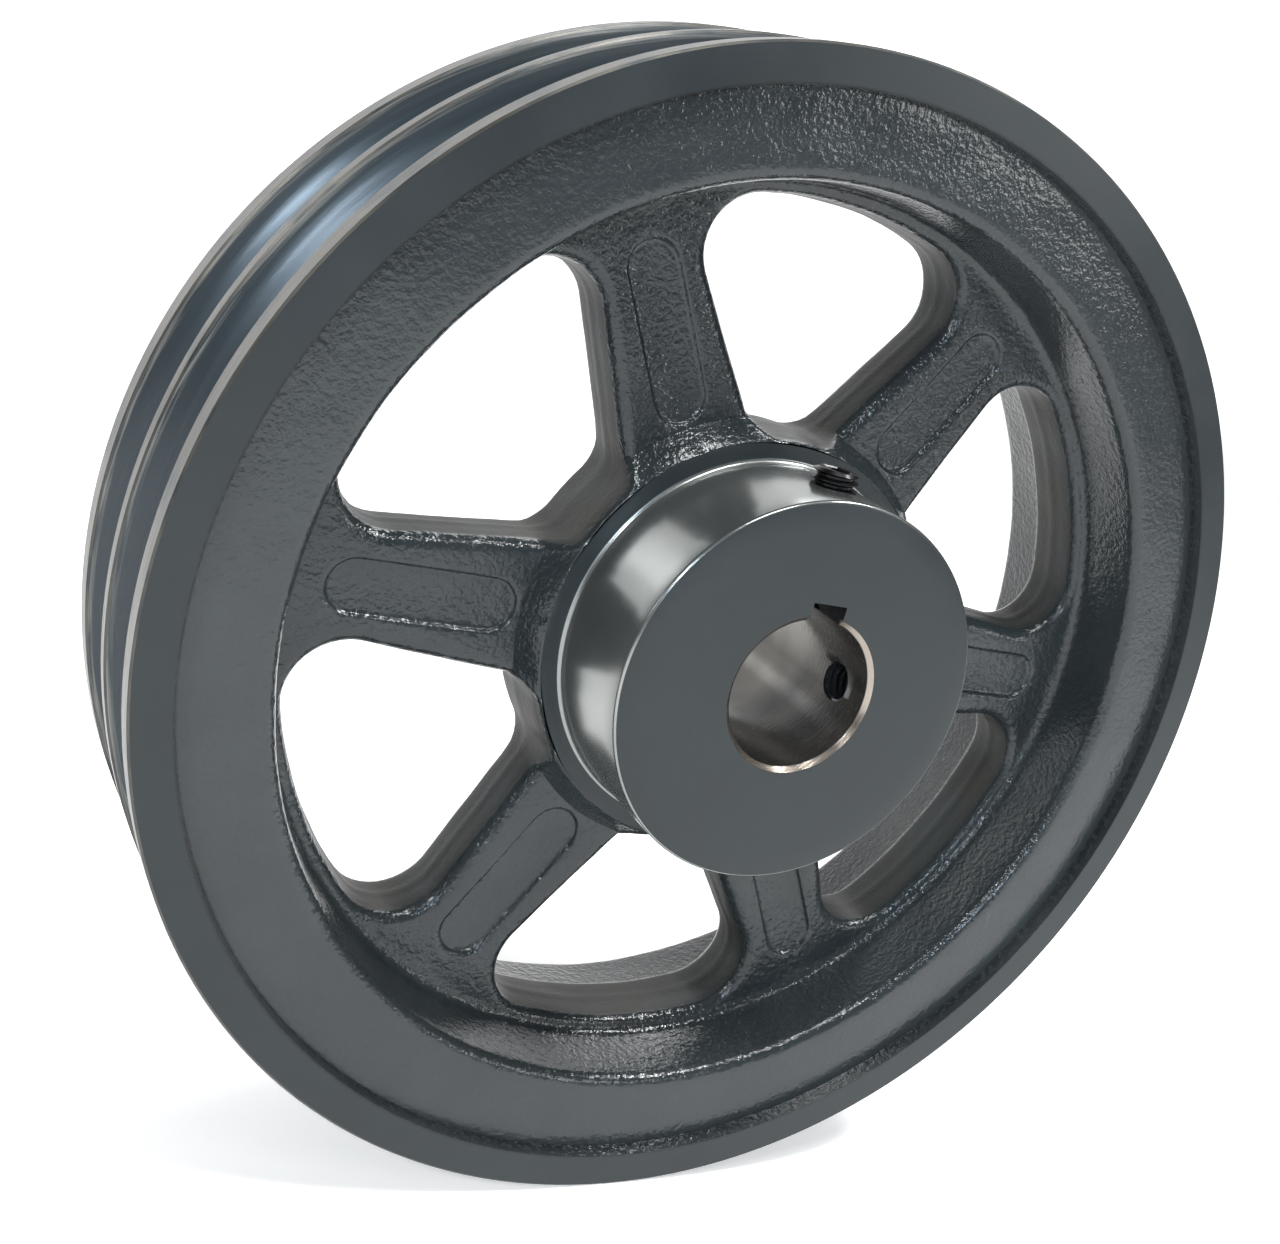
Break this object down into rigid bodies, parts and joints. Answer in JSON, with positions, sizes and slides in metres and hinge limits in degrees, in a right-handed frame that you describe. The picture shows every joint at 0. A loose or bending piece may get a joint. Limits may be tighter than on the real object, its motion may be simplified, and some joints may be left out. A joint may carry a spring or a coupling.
{
  "type": "v-belt pulley",
  "caption": "Cast-iron V-belt pulley with arms, a keyed bore and hub set screws; carries V-belts side by side to turn a shaft.",
  "frame": {"origin": "on the bore's axis, in the middle of the rim's width", "axes": "the bore lies along Y, with the hub's long end and its set screws towards -Y; the keyway and the screw over it point to +Z, and the other screw points to +X"},
  "size_m": [0.1968, 0.054, 0.1968],
  "materials": {
    "painted_iron": "thin dark blue-grey enamel over grey iron, smooth where it was turned and sandy where it was cast, worn bare on the lands between the belts",
    "black_oxide_steel": "black oxide alloy steel, lightly oiled"
  },
  "bodies": {
    "casting": {"sheave_casting": "painted_iron"},
    "key_screw": {"set_screw_over_key": "black_oxide_steel"},
    "shaft_screw": {"set_screw_on_shaft": "black_oxide_steel"}
  },
  "joints": [
    {"name": "key_screw_travel", "type": "slide", "parent": "casting", "child": "key_screw", "axis": [0, 0, 1], "range_m": [-0.00706, 0.00847]},
    {"name": "shaft_screw_travel", "type": "slide", "parent": "casting", "child": "shaft_screw", "axis": [1, 0, 0], "range_m": [-0.00988, 0.00847]}
  ]
}
